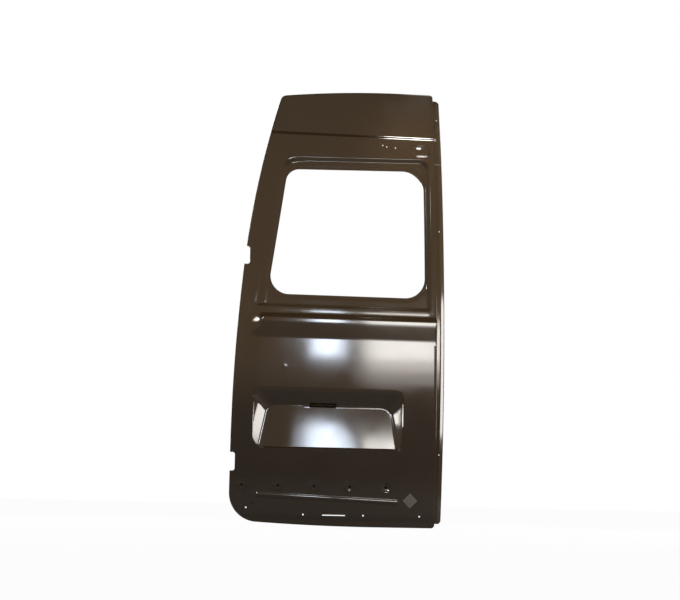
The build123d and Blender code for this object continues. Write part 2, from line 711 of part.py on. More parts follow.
def check_strap_plate():
    """Reinforcement round the check-strap slot."""
    thickness, width, height = CHECK_PLATE
    front = CHECK_SEAT_X + LAP_GAP
    return along_x(seat_plate(CHECK_MIDDLE_Z, width, height), (front, front + thickness)) - check_slot()


def striker_plate():
    """Reinforcement inside the closing-side wall."""
    thickness, width, height = STRIKER_PLATE
    back = PAN_RIGHT_X - LAP_GAP
    return along_x(seat_plate(STRIKER_Z, width, height), (back - thickness, back)) - striker_holes()


def bolt_plate(wall_z, low_z):
    """Reinforcement on the pan's top or bottom wall round a bolt hole, from low_z up."""
    length, width, thickness = BOLT_PLATE
    shape = Pos(BOLT_PLATE_X, depth(wall_z) + SEAT_DEPTH) * RectangleRounded(length, width, PLATE_RADIUS)
    return along_z(shape, (low_z, low_z + thickness)) - bolt_holes()


def rail(z_range, seat, rise, x_range):
    """Hat-section rail: two flanges at the seat depth and a web that stands off them by rise."""
    low, high = z_range
    shoulder = 1.5 * RAIL_FLANGE
    spine = Polyline(
        (depth(low, seat), low),
        (depth(low + RAIL_FLANGE, seat), low + RAIL_FLANGE),
        (depth(low + shoulder, seat + rise), low + shoulder),
        (depth(high - shoulder, seat + rise), high - shoulder),
        (depth(high - RAIL_FLANGE, seat), high - RAIL_FLANGE),
        (depth(high, seat), high),
    )
    return along_x(trace(spine, line_width=SHEET), x_range)


def pan_rail(z_range, rise):
    """Rail on the front of the pan's floor, from wall to wall."""
    start = hinge_side_x(z_range[1]) + RAIL_END_GAP
    return rail(z_range, PAN_SEAT, -rise, (start, PAN_RIGHT_X - RAIL_END_GAP))


def stiffener_range():
    """X range of the belt stiffener, from the check-strap plate to the striker plate."""
    start = CHECK_SEAT_X + CHECK_PLATE[0] + 2 * LAP_GAP
    return (start, PAN_RIGHT_X - STRIKER_PLATE[0] - 2 * LAP_GAP)


def mastic_pad(number):
    """Bonding pad between the stiffener's upper flange and the skin, counted from the hinge side."""
    start, end = stiffener_range()
    pitch = (end - start) / MASTIC_COUNT
    middle = start + (number - 0.5) * pitch
    layer = barrel(SHEET - RAISE + LAP_GAP) - barrel(STIFFENER_SEAT - SHEET / 2 - LAP_GAP)
    half = MASTIC_LENGTH / 2
    return layer & span((middle - half, middle + half), (STIFFENER_Z[1] - RAIL_FLANGE, STIFFENER_Z[1]))


def stop_lamp_plate():
    """Backing plate with tapped holes behind the stop-lamp holes."""
    holes = [from_corner(place) for place in LAMP_HOLES]
    xs = [x for x, _ in holes]
    zs = [z for _, z in holes]
    layer = barrel(SHEET + LAP_GAP) - barrel(2 * SHEET + LAP_GAP)
    block = span(
        (min(xs) - LAMP_PLATE_MARGIN, max(xs) + LAMP_PLATE_MARGIN),
        (min(zs) - LAMP_PLATE_MARGIN, max(zs) + LAMP_PLATE_MARGIN),
    )
    return (layer & block) - pins_y(holes, LAMP_PLATE_NUT_RADIUS)


def plate_lamp_box():
    """Open box behind the lamp opening, flat on the back of the pocket's ceiling."""
    start, end = LAMP_OPENING_SPAN
    left, right = LAMP_OPENING_X
    near = SHEET + LAP_GAP
    far = near + LAMP_BOX_DEPTH
    wall = SHEET
    rim = LAMP_BOX_RIM
    body = ceiling_block((start - wall, end + wall), (near, far), (left - wall, right + wall))
    body += ceiling_block((start - rim, end + rim), (near, near + wall), (left - rim, right + rim))
    return body - ceiling_block((start, end), (near - wall, far - wall), (left, right))


def plate_nut(x):
    """Square nut insert behind one number-plate screw hole."""
    _, floor_top, floor_foot = pocket_corners()
    lean = math.degrees(math.atan2(floor_top[0] - floor_foot[0], floor_top[1] - floor_foot[1]))
    share = (PLATE_SCREW_Z - floor_foot[1]) / (floor_top[1] - floor_foot[1])
    level = floor_foot[0] + share * POCKET_FLOOR_LEAN - PLATFORM_HEIGHT + SHEET + LAP_GAP
    side = 4 * PLATE_SCREW_RADIUS
    nut = Box(side, side / 2, side, align=(Align.CENTER, Align.MIN, Align.CENTER))
    nut = Pos(x, level, PLATE_SCREW_Z) * Rot(-lean, 0, 0) * nut
    return nut - along_y(Pos(x, PLATE_SCREW_Z) * Circle(PLATE_SCREW_RADIUS))


def strip_outline():
    """Outline of the whole closing strip in (x, z), with its bowed outer edge."""
    top = DOOR_HEIGHT - STRIP_TOP_DROP
    inner = PAN_RIGHT_X + SHEET + LAP_GAP
    head = (DOOR_WIDTH + STRIP_REACH_TOP, top)
    belly = (DOOR_WIDTH + STRIP_REACH_MIDDLE, (top + STRIP_FOOT_Z) / 2)
    foot = (DOOR_WIDTH + STRIP_REACH_FOOT, STRIP_FOOT_Z)
    bow = ThreePointArc(foot, belly, head)
    face = make_face([bow, Polyline(head, (inner, top), (inner, STRIP_FOOT_Z), foot)])
    return chamfer(face.vertices().sort_by(Axis.X)[-2:], STRIP_CHAMFER)


def strip_mass(inset):
    """Everything behind the closing strip's face, which follows the barrel past the raised panel."""
    return barrel(inset) - above_crease(inset)


def closing_strip(z_range):
    """One length of the closing strip, with the lip along its outer edge."""
    outline = strip_outline()
    web = (strip_mass(STRIP_FRONT) - strip_mass(STRIP_FRONT + STRIP_SHEET)) & along_y(outline)
    edge_band = along_y(outline) - along_y(grown(outline, -STRIP_SHEET))
    outer_side = span((DOOR_WIDTH + STRIP_CHAMFER, BLOCK_X[1]), BLOCK_Z)
    lip = (strip_mass(STRIP_FRONT) - strip_mass(STRIP_FRONT + STRIP_LIP)) & edge_band & outer_side
    strip = (web + lip) & span(BLOCK_X, z_range)
    hole_x = DOOR_WIDTH + STRIP_REACH_TOP / 2
    heights = (DOOR_HEIGHT - STRIP_TOP_HOLE_DROP, *STRIP_HOLES_Z)
    return strip - pins_y([(hole_x, z) for z in heights], STRIP_HOLE_RADIUS)


def frame_regions(window_low, window_high):
    """Ranges in x and z over and beside the window, shared by the skin and the pan."""
    middle = (WINDOW_LEFT_X + WINDOW_RIGHT_X) / 2
    return {
        "header": (BLOCK_X, (window_high, BLOCK_Z[1])),
        "hinge_stile": ((BLOCK_X[0], middle), (window_low, window_high)),
        "closing_stile": ((middle, BLOCK_X[1]), (window_low, window_high)),
    }


def skin_regions(window_low):
    """Ranges in x and z of the skin's lower pieces."""
    beside = (NOTCH_TOP_Z, POCKET_TOP_Z + POCKET_CUT)
    left = POCKET_LEFT_X - POCKET_CUT
    right = POCKET_RIGHT_X + POCKET_CUT
    return {
        "belt": (BLOCK_X, (beside[1], window_low)),
        "hinge_side": ((BLOCK_X[0], left), beside),
        "plate_pocket": ((left, right), beside),
        "closing_side": ((right, BLOCK_X[1]), beside),
        "lower_band": (BLOCK_X, (NOTCH_FOOT_Z, NOTCH_TOP_Z)),
        "foot": (BLOCK_X, (BLOCK_Z[0], NOTCH_FOOT_Z)),
    }


def pan_regions(window_low):
    """Ranges in x and z of the pan's lower pieces."""
    low = ACCESS_Z[0] + ACCESS_CUT
    high = ACCESS_Z[1] - ACCESS_CUT
    left_middle, right_middle = ((left + right) / 2 for left, right in access_ranges())
    wall = (BLOCK_X[0], LOWER_HINGE_X + SIDE_CUT)
    closing_wall = (PAN_RIGHT_X - SIDE_CUT, BLOCK_X[1])
    return {
        "waist": (BLOCK_X, (high, window_low)),
        "hinge_side": ((BLOCK_X[0], left_middle), (low, high)),
        "mullion": ((left_middle, right_middle), (low, high)),
        "closing_side": ((right_middle, BLOCK_X[1]), (low, high)),
        "lower": ((wall[1], closing_wall[0]), (FOOT_CUT_Z, low)),
        "lower_hinge_side": (wall, (NOTCH_TOP_Z, low)),
        "lower_hinge_seat": (wall, (NOTCH_FOOT_Z, NOTCH_TOP_Z)),
        "hinge_foot": (wall, (FOOT_CUT_Z, NOTCH_FOOT_Z)),
        "lower_closing_side": (closing_wall, (FOOT_CUT_Z, low)),
        "foot": (BLOCK_X, (BLOCK_Z[0], FOOT_CUT_Z)),
    }


os.makedirs("parts", exist_ok=True)
pieces = {
    "closing_strip_upper": closing_strip((STRIP_JOINT_Z + STRIP_JOINT_GAP, BLOCK_Z[1])),
    "closing_strip_lower": closing_strip((BLOCK_Z[0], STRIP_JOINT_Z)),
    "hinge_plate_upper": hinge_plate(UPPER_HINGE_X, UPPER_HINGE_Z),
    "hinge_plate_lower": hinge_plate(LOWER_HINGE_X, LOWER_HINGE_Z),
    "check_strap_plate": check_strap_plate(),
    "striker_plate": striker_plate(),
    "top_bolt_plate": bolt_plate(PAN_TOP_Z, PAN_TOP_Z - LAP_GAP - BOLT_PLATE[2]),
    "bottom_bolt_plate": bolt_plate(PAN_BOTTOM_Z, PAN_BOTTOM_Z + LAP_GAP),
    "waist_rail": pan_rail(WAIST_RAIL_Z, WAIST_RAIL_RISE),
    "header_rail": pan_rail(tuple(DOOR_HEIGHT - drop for drop in HEADER_RAIL_DROP), HEADER_RAIL_RISE),
    "lower_cross_rail": pan_rail(LOWER_RAIL_Z, LOWER_RAIL_RISE),
    "belt_stiffener": rail(STIFFENER_Z, STIFFENER_SEAT, STIFFENER_RISE, stiffener_range()),
    "stop_lamp_plate": stop_lamp_plate(),
    "plate_lamp_box": plate_lamp_box(),
    "plate_nut_left": plate_nut(PLATE_SCREW_X[0]),
    "plate_nut_right": plate_nut(PLATE_SCREW_X[1]),
}
for number in range(1, MASTIC_COUNT + 1):
    pieces[f"mastic_pad_{number}"] = mastic_pad(number)

window_low = WINDOW_SILL_Z + FRAME_CUT
window_high = WINDOW_TOP_Z - FRAME_CUT
frame_pieces = frame_regions(window_low, window_high)
skin = outer_skin()
for name, region in {**frame_pieces, **skin_regions(window_low)}.items():
    node = name if name == "plate_pocket" else f"{name}_skin"
    pieces[node] = skin & span(*region)
pan = inner_panel()
for name, region in {**frame_pieces, **pan_regions(window_low)}.items():
    pieces[f"{name}_pan"] = pan & span(*region)

hinge_seat = (LOWER_HINGE_X - SHEET, depth(LOWER_HINGE_Z) + SEAT_DEPTH, LOWER_HINGE_Z)
to_seat = Pos(*(-value for value in hinge_seat))
for name, piece in pieces.items():
    export_step(to_seat * piece, f"parts/{name}.step")
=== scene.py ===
import math

import bpy
import numpy as np
from mathutils import Matrix, Vector, kdtree
from mathutils.geometry import delaunay_2d_cdt


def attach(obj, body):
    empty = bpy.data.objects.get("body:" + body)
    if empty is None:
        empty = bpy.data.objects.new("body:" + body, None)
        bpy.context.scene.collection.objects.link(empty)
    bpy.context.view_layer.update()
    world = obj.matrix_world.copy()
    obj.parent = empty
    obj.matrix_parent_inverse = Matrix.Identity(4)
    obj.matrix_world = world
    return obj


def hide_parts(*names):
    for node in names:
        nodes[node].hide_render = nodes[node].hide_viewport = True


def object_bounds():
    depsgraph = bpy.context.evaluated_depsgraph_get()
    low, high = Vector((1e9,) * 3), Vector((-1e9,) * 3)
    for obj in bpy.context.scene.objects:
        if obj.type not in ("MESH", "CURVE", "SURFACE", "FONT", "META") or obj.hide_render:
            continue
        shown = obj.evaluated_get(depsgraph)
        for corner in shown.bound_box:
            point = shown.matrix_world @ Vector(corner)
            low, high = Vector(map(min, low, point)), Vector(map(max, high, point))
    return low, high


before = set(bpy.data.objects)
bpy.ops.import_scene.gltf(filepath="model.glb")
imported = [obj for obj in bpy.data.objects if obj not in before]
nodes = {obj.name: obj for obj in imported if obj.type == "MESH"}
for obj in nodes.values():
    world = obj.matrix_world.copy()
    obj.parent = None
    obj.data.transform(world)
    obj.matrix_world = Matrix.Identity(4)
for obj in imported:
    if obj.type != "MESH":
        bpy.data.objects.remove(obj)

cad_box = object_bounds()

# Inner pan: one deep pressing of thin sheet steel behind the skin, with side walls, a return round the
# window and two access openings. It is dipped with the whole shell in brown-black electro-primer.


def wire(tree, source, output, target, socket):
    """Joins an output of one shader node to a socket of another."""
    tree.links.new(source.outputs[output], target.inputs[socket])


def shell_finish(name, colour, pale, roughness, peel):
    """Finish of the shell's pieces: faint clouding, slightly uneven gloss and a fine orange peel."""
    uneven = 0.025
    material = bpy.data.materials.new(name)
    material.use_nodes = True
    tree = material.node_tree
    shader = tree.nodes["Principled BSDF"]
    shader.inputs["IOR"].default_value = 1.5
    place = tree.nodes.new("ShaderNodeTexCoord")
    cloud = tree.nodes.new("ShaderNodeTexNoise")
    cloud.inputs["Scale"].default_value = 7.0
    cloud.inputs["Detail"].default_value = 6.0
    wire(tree, place, "Object", cloud, "Vector")
    tint = tree.nodes.new("ShaderNodeMix")
    tint.data_type = "RGBA"
    tint.inputs["A"].default_value = (*colour, 1)
    tint.inputs["B"].default_value = (*pale, 1)
    wire(tree, cloud, "Fac", tint, "Factor")
    wire(tree, tint, "Result", shader, "Base Color")
    gloss = tree.nodes.new("ShaderNodeMapRange")
    gloss.inputs["From Min"].default_value = 0.3
    gloss.inputs["From Max"].default_value = 0.7
    gloss.inputs["To Min"].default_value = roughness - uneven
    gloss.inputs["To Max"].default_value = roughness + uneven
    wire(tree, cloud, "Fac", gloss, "Value")
    wire(tree, gloss, "Result", shader, "Roughness")
    grain = tree.nodes.new("ShaderNodeTexNoise")
    grain.inputs["Scale"].default_value = 220.0
    grain.inputs["Detail"].default_value = 3.0
    wire(tree, place, "Object", grain, "Vector")
    bump = tree.nodes.new("ShaderNodeBump")
    bump.inputs["Strength"].default_value = peel
    bump.inputs["Distance"].default_value = 0.0004
    wire(tree, grain, "Fac", bump, "Height")
    wire(tree, bump, "Normal", shader, "Normal")
    return material


def paint(material, *names):
    """Gives CAD nodes one material."""
    for name in names:
        for place in nodes[name].material_slots:
            place.material = material


primer = shell_finish("dip_primer", (0.0215, 0.0128, 0.0055), (0.0265, 0.0163, 0.0080), 0.098, 0.02)
pan_names = [name for name in nodes if name.endswith("_pan")]
paint(primer, *pan_names)

# Reinforcements: hinge, check-strap, striker and bolt plates, rails and the lamp box between the panels,
# folded or blanked from thicker steel, spot-welded to the pan or skin and dipped with them.
paint(
    primer,
    "hinge_plate_upper",
    "hinge_plate_lower",
    "check_strap_plate",
    "striker_plate",
    "top_bolt_plate",
    "bottom_bolt_plate",
    "waist_rail",
    "header_rail",
    "lower_cross_rail",
    "belt_stiffener",
    "stop_lamp_plate",
    "plate_lamp_box",
    "plate_nut_left",
    "plate_nut_right",
)

# Mastic pads: four extruded blobs of grey anti-flutter mastic between the belt stiffener and the skin.
# They are laid on before the panels are joined, and set as the primer is baked.
mastic = shell_finish("mastic", (0.050, 0.050, 0.048), (0.075, 0.075, 0.072), 0.85, 0.6)
paint(mastic, *[name for name in nodes if name.startswith("mastic_pad")])

# Outer skin: the pressed outer panel of 0.8 mm sheet steel, barrelled from top to bottom, with the window
# rebate, header crease, waist swage, number-plate pocket, dimples and bead, hemmed round the pan's flange.
SEAT = np.array((28.8, 33.683, 256.0))
SKIN_NODES = (
    "header_skin",
    "hinge_stile_skin",
    "closing_stile_skin",
    "belt_skin",
    "hinge_side_skin",
    "plate_pocket",
    "closing_side_skin",
    "lower_band_skin",
    "foot_skin",
)
SHEET = 1.0
WIDTH = 848.0
HEIGHT = 1836.0
BARREL_RADIUS = 6160.0
BARREL_APEX = 400.0


def barrel(z):
    """Depth of the plain barrelled face at height z, in millimetres."""
    return BARREL_RADIUS - np.sqrt(BARREL_RADIUS**2 - (z - BARREL_APEX) ** 2)


def ease(t):
    """Soft step from 0 to 1 as t goes from 0 to 1."""
    t = np.clip(t, 0.0, 1.0)
    return t * t * t * (t * (6.0 * t - 15.0) + 10.0)


def lower(a, b, blend):
    """The smaller of two values, rounded over where they are close."""
    return np.minimum(a, b) - np.maximum(blend - np.abs(a - b), 0.0) ** 2 / (4.0 * blend)


def upper(a, b, blend):
    """The larger of two values, rounded over where they are close."""
    return -lower(-a, -b, blend)


def outside(x, z, corners, radii):
    """Distance outside a convex outline with rounded corners, negative inside it."""
    sides = []
    for (x0, z0), (x1, z1) in zip(corners, corners[1:] + corners[:1]):
        length = math.hypot(x1 - x0, z1 - z0)
        sides.append(((x - x0) * (z1 - z0) - (z - z0) * (x1 - x0)) / length)
    distance = np.maximum.reduce(sides)
    for i, radius in enumerate(radii):
        u = np.maximum(sides[i - 1] + radius, 0.0)
        v = np.maximum(sides[i] + radius, 0.0)
        distance = np.where((u > 0) & (v > 0), np.maximum(distance, np.hypot(u, v) - radius), distance)
    return distance


def softened(stops, values, spread):
    """Profile through straight runs, with its bends rounded over about twice the spread."""
    step, margin = 0.5, 40.0
    line = np.arange(stops[0] - margin, stops[-1] + margin, step)
    reach = int(8 * spread)
    kernel = np.exp(-0.5 * (np.arange(-reach, reach + 1) * step / spread) ** 2)
    profile = np.pad(np.interp(line, stops, values), reach, mode="edge")
    smooth = np.convolve(profile, kernel / kernel.sum(), mode="valid")
    return lambda at: np.interp(at, line, smooth)


CREASE = 1628.0
CREASE_TALL = 14.0
CREASE_STEP = 4.0


def crease_step(z):
    """How far the header is set back over its crease."""
    return CREASE_STEP * ease((z - CREASE) / CREASE_TALL)


BELT_LINE = 765.0
BELT_RAISE = 4.0
BELT_BEND = 2.2
FOOT_RAMP = (24.0, 44.0)
WAIST = 866.0
SWAGE_STOPS = (BELT_LINE, 826.0, 833.0, 846.0, 852.0, WAIST)
SWAGE_SLOPES = (-0.040, -0.036, 0.032, 0.075, 0.12, 0.12)


def belt_profile():
    """Rise of the raised panel from its foot to the waist: plain face, outward lean and crowned swage."""
    step = 0.5
    z = np.arange(BELT_LINE, WAIST + step, step)
    slope = np.interp(z, SWAGE_STOPS, SWAGE_SLOPES)
    lean = barrel(BELT_LINE) - BELT_RAISE + np.concatenate(((0.0,), np.cumsum(slope[:-1]) * step))
    plain = np.arange(FOOT_RAMP[1] + 10.0, BELT_LINE, 10.0)
    heights = np.concatenate(((-60.0, *FOOT_RAMP), plain, z, (WAIST + 60.0,)))
    low = np.concatenate(((0.0, 0.0, BELT_RAISE), np.full(len(plain), BELT_RAISE)))
    rise = np.concatenate((low, barrel(z) - lean, (barrel(WAIST) - lean[-1],)))
    return softened(heights, rise, BELT_BEND)


swage_rise = belt_profile()
SILL_STOPS = (WAIST, 868.0, 876.0, 884.0, 893.0, 903.0)
SILL_DROPS = (0.0, -0.02, -0.23, -0.31, -0.32, 12.0)
SILL_BEND = 1.6
sill_drop = softened(SILL_STOPS, SILL_DROPS, SILL_BEND)

REBATE = [(61.0, 700.0), (822.0, 700.0), (822.0, 1541.0), (193.6, 1527.0)]
REBATE_RADII = (1.0, 1.0, 45.0, 60.0)
REBATE_EDGE = 2.0
REBATE_RAMP = 14.0
REBATE_BEND = 0.2
HINGE_RAMP = 38.0
HINGE_RAMP_FROM = 330.0
HINGE_RAMP_OVER = 180.0
WINDOW = [(141.0, 946.0), (800.0, 946.0), (800.0, 1492.0), (224.0, 1478.0)]
WINDOW_RADII = (75.0, 85.0, 88.0, 60.0)
GLAZING_WIDE = 20.0
GLAZING_RAMP = 14.0
GLAZING_DROP = 2.35


def held(value, bend):
    """Value held between 0 and 1, with both ends rounded over."""
    return lower(upper(value, 0.0 * value, bend), 1.0 + 0.0 * value, bend)


def window_drop(x, z):
    """How far the window's rebate and glazing flange are sunk."""
    ramp = REBATE_RAMP + (HINGE_RAMP - REBATE_RAMP) * ease((HINGE_RAMP_FROM - x) / HINGE_RAMP_OVER)
    rebate = held((REBATE_EDGE - outside(x, z, REBATE, REBATE_RADII)) / ramp, REBATE_BEND)
    glazing = (GLAZING_WIDE - outside(x, z, WINDOW, WINDOW_RADII)) / GLAZING_RAMP
    glazing = np.clip(glazing, 0.0, 1.0)
    return sill_drop(z) * rebate + GLAZING_DROP * glazing**2 * (3.0 - 2.0 * glazing)


PANEL_END = 132.0
PANEL_END_RADIUS = 76.0
PANEL_END_RAMP = 46.0
PANEL_TOP_RAMP = 18.0
PANEL_END_BEND = 0.3
PANEL_TOP_BEND = 0.14
PANEL_TURN = 2.5


def panel_share(x, z):
    """Share of the raised panel's rise: 1 over most of it, 0 past its round left end."""
    beside = np.maximum(PANEL_END - x, 0.0)
    above = np.maximum(z - (WAIST - PANEL_END_RADIUS), 0.0)
    turned = ease((np.arctan2(above, beside + 1e-9) / (math.pi / 2)) ** PANEL_TURN)
    ramp = PANEL_END_RAMP - (PANEL_END_RAMP - PANEL_TOP_RAMP) * turned
    bend = PANEL_END_BEND - (PANEL_END_BEND - PANEL_TOP_BEND) * turned
    return held((PANEL_END_RADIUS - np.hypot(beside, above)) / ramp, bend)


POCKET_LEFT = 89.0
POCKET_RIGHT = 708.0
POCKET_TOP = 550.0
POCKET_FOOT = 318.0
POCKET_FLOOR_TOP = 488.0
POCKET_DEEP = 45.0
POCKET_LEAN = 28.7
POCKET_TWIST = 1.8
POCKET_TWIST_FROM = 380.0
POCKET_TWIST_OVER = 200.0
POCKET_MOUTH_BEND = 6.0
POCKET_LEDGE = [(POCKET_LEFT, 315.0), (POCKET_RIGHT, 315.0), (POCKET_RIGHT, 900.0), (POCKET_LEFT, 900.0)]
POCKET_LEDGE_RADII = (52.0, 22.0, 1.0, 1.0)
POCKET_LEDGE_SLOPE = 6.0
POCKET_LEDGE_BEND = 10.0
LEFT_WALL_RUN = 62.0
LEFT_WALL_START = 0.12
LEFT_WALL_BEND = 26.0
LEFT_ROLL = 22.0
LEFT_ROLL_FOOT = 415.0
LEFT_ROLL_GROWS = 69.0
LEFT_ROLL_TOP = 545.0
LEFT_ROLL_FADES = 60.0
RIGHT_WALL_RUN = 50.0
RIGHT_WALL_BEND = 36.0
RIGHT_WALL_TAPER = 0.14
RIGHT_WALL_TAPER_TOP = 410.0
RIGHT_WALL_TAPER_BEND = 30.0
PLATE_RISE = 4.0
PLATE_LEFT = 120.0
PLATE_LEFT_RAMP = 140.0
PLATE_RIGHT = 685.0
PLATE_RIGHT_RAMP = 8.0
PLATE_TAPER = 18.0
PLATE_LEFT_BEND = 2.5
PLATE_RIGHT_BEND = 8.0
PLATE_BEND_CHANGE = 300.0


def pocket_depth(x, z):
    """Depth of the number-plate pocket's walls, ceiling and plate face, at or behind its mouth."""
    mouth = barrel(POCKET_TOP) - BELT_RAISE
    share = (z - POCKET_FOOT) / (POCKET_FLOOR_TOP - POCKET_FOOT)
    lean = POCKET_LEAN + POCKET_TWIST * ease((x - POCKET_TWIST_FROM) / POCKET_TWIST_OVER)
    floor = mouth + POCKET_DEEP - lean + share * lean
    plate_edge = PLATE_RIGHT - PLATE_TAPER * share
    plate = ease((plate_edge - x) / PLATE_RIGHT_RAMP) * ease((x - PLATE_LEFT) / PLATE_LEFT_RAMP)
    floor = floor - PLATE_RISE * plate
    ceiling = mouth + (POCKET_TOP - z) * POCKET_DEEP / (POCKET_TOP - POCKET_FLOOR_TOP)
    run = x - POCKET_LEFT
    roll = np.clip((z - LEFT_ROLL_FOOT) / LEFT_ROLL_GROWS, 0.0, 1.0)
    roll = roll * ease((LEFT_ROLL_TOP - z) / LEFT_ROLL_FADES)
    left = mouth + upper(run * POCKET_DEEP / LEFT_WALL_RUN, LEFT_WALL_START * run, 1.0 + LEFT_ROLL * roll)
    taper = RIGHT_WALL_TAPER * upper(RIGHT_WALL_TAPER_TOP - z, 0.0 * z, RIGHT_WALL_TAPER_BEND)
    right = mouth + (POCKET_RIGHT - taper - x) * POCKET_DEEP / RIGHT_WALL_RUN
    ledge = mouth - POCKET_LEDGE_SLOPE * outside(x, z, POCKET_LEDGE, POCKET_LEDGE_RADII)
    walls = lower(lower(ceiling, left, LEFT_WALL_BEND), right, RIGHT_WALL_BEND)
    bend = np.where(x < PLATE_BEND_CHANGE, PLATE_LEFT_BEND, PLATE_RIGHT_BEND)
    return lower(lower(walls, floor, bend), ledge, POCKET_LEDGE_BEND)


# Middle (x, z), depth and wall slope of each dimple.
DIMPLES = (
    (50.0, 163.0, 2.1, 0.13),
    (197.0, 163.0, 2.1, 0.13),
    (345.0, 163.0, 2.1, 0.13),
    (493.0, 163.0, 2.8, 0.21),
    (642.0, 163.0, 4.6, 0.42),
)
DIMPLE_RADIUS = 21.0
DIMPLE_BEND = 0.8
BEAD_START = np.array((117.0, 124.0))
BEAD_END = np.array((689.0, 102.0))
BEAD_RISE = 3.4
BEAD_HALF_WIDTH = 11.0
BEAD_BEND = 0.9
PIP = (212.0, 647.0)
PIP_RADIUS = 17.0
PIP_RISE = 0.5
LAMP_SEAT = (791.0, 1580.0)
LAMP_SEAT_HALF_RUN = 13.0
LAMP_SEAT_RADIUS = 26.0
LAMP_SEAT_RAMP = 7.0
LAMP_SEAT_DEEP = 3.0


def dimple_depth(x, z):
    """Depth of the shallow cones round the five trim holes."""
    depth = 0.0 * x
    for middle_x, middle_z, deep, slope in DIMPLES:
        cone = (DIMPLE_RADIUS - np.hypot(x - middle_x, z - middle_z)) * slope
        depth = depth + lower(upper(cone, 0.0 * x, DIMPLE_BEND), deep + 0.0 * x, DIMPLE_BEND)
    return depth


def bead_rise(x, z):
    """Rise of the long bead over the foot."""
    run = BEAD_END - BEAD_START
    along = ((x - BEAD_START[0]) * run[0] + (z - BEAD_START[1]) * run[1]) / run.dot(run)
    along = np.clip(along, 0.0, 1.0)
    off = np.hypot(x - BEAD_START[0] - along * run[0], z - BEAD_START[1] - along * run[1])
    return upper(BEAD_RISE - BEAD_RISE * (off / BEAD_HALF_WIDTH) ** 2, 0.0 * off, BEAD_BEND)


def lamp_seat_depth(x, z):
    """Depth of the oval dish of the stop-lamp seat."""
    off = np.hypot(np.maximum(np.abs(x - LAMP_SEAT[0]) - LAMP_SEAT_HALF_RUN, 0.0), z - LAMP_SEAT[1])
    return LAMP_SEAT_DEEP * ease((LAMP_SEAT_RADIUS - off) / LAMP_SEAT_RAMP)


def skin_depth(x, z):
    """Depth of the skin's outer face over the door, in millimetres."""
    face = barrel(z) + crease_step(z) + window_drop(x, z)
    face = face - swage_rise(z) * panel_share(x, z)
    face = upper(face, pocket_depth(x, z), POCKET_MOUTH_BEND)
    face = face + dimple_depth(x, z)
    face = face - PIP_RISE * ease(1.0 - np.hypot(x - PIP[0], z - PIP[1]) / PIP_RADIUS)
    return face - bead_rise(x, z) + lamp_seat_depth(x, z)


def arc_points(centre, radius, start, end, step):
    """Points along an arc from one angle to another."""
    count = max(3, int(abs(end - start) * radius / step))
    angles = np.linspace(start, end, count + 1)
    return [(centre[0] + radius * math.cos(a), centre[1] + radius * math.sin(a)) for a in angles]


def rounded_loop(corners, radii, step):
    """Closed run of points round a polygon, anticlockwise, with rounded corners."""
    loop = []
    count = len(corners)
    for i, radius in enumerate(radii):
        here = Vector(corners[i])
        back = (Vector(corners[i - 1]) - here).normalized()
        ahead = (Vector(corners[(i + 1) % count]) - here).normalized()
        half = back.angle(ahead) / 2
        centre = here + (back + ahead).normalized() * radius / math.sin(half)
        first = here + back * radius / math.tan(half) - centre
        sweep = math.pi - 2 * half
        turn = math.copysign(1.0, back.x * ahead.y - back.y * ahead.x)
        start = math.atan2(first.y, first.x)
        loop += arc_points(centre, radius, start, start - turn * sweep, step)
    return spaced(loop, step)


DOUBLED = 0.05


def spaced(points, step):
    """Closed run of points with long gaps filled in and doubled points left out."""
    run = []
    for a, b in zip(points, points[1:] + points[:1]):
        gap = math.hypot(b[0] - a[0], b[1] - a[1])
        if gap < DOUBLED:
            continue
        parts = max(1, round(gap / step))
        run += [(a[0] + (b[0] - a[0]) * k / parts, a[1] + (b[1] - a[1]) * k / parts) for k in range(parts)]
    return run


def ring(centre, radius, count=20):
    """Closed run of points round a circle."""
    angles = np.linspace(0.0, 2 * math.pi, count, endpoint=False)
    return [(centre[0] + radius * math.cos(a), centre[1] + radius * math.sin(a)) for a in angles]


def bow(start, end, tangent, step):
    """Points of the arc that leaves start along tangent and reaches end, without its last point."""
    start = Vector(start)
    chord = Vector(end) - start
    tangent = Vector(tangent).normalized()
    normal = Vector((-tangent.y, tangent.x))
    offset = chord.dot(normal)
    radius = chord.length_squared / (2 * offset)
    centre = start + normal * radius
    first = start - centre
    last = Vector(end) - centre
    begin = math.atan2(first.y, first.x)
    sweep = first.angle(last) * math.copysign(1.0, radius)
    points = arc_points(centre, abs(radius), begin, begin + sweep, step)
    finish = begin + sweep + math.copysign(math.pi / 2, radius)
    return points[:-1], (math.cos(finish), math.sin(finish))


LEFT_FOOT = (0.0, 22.0)
LEFT_BOW = (0.0, 290.0)
LEFT_KINK = (43.0, 1064.0)
LEFT_TOP = (200.0, 1800.0)
TOP_BOW = (740.0, HEIGHT)
FOOT_BOW = (600.0, 0.0)


def door_loop(step):
    """Outline of the door, anticlockwise from its lower right corner, before its corners are rounded."""
    top, _ = bow(TOP_BOW, LEFT_TOP, (-1.0, 0.0), step)
    low, tangent = bow(LEFT_BOW, LEFT_KINK, (0.0, 1.0), step)
    high, _ = bow(LEFT_KINK, LEFT_TOP, tangent, step)
    left = (low + high)[::-1]
    foot, _ = bow(FOOT_BOW, LEFT_FOOT, (-1.0, 0.0), step)
    return [(WIDTH, 0.0), (WIDTH, HEIGHT)] + top + left + [LEFT_FOOT] + foot[::-1]


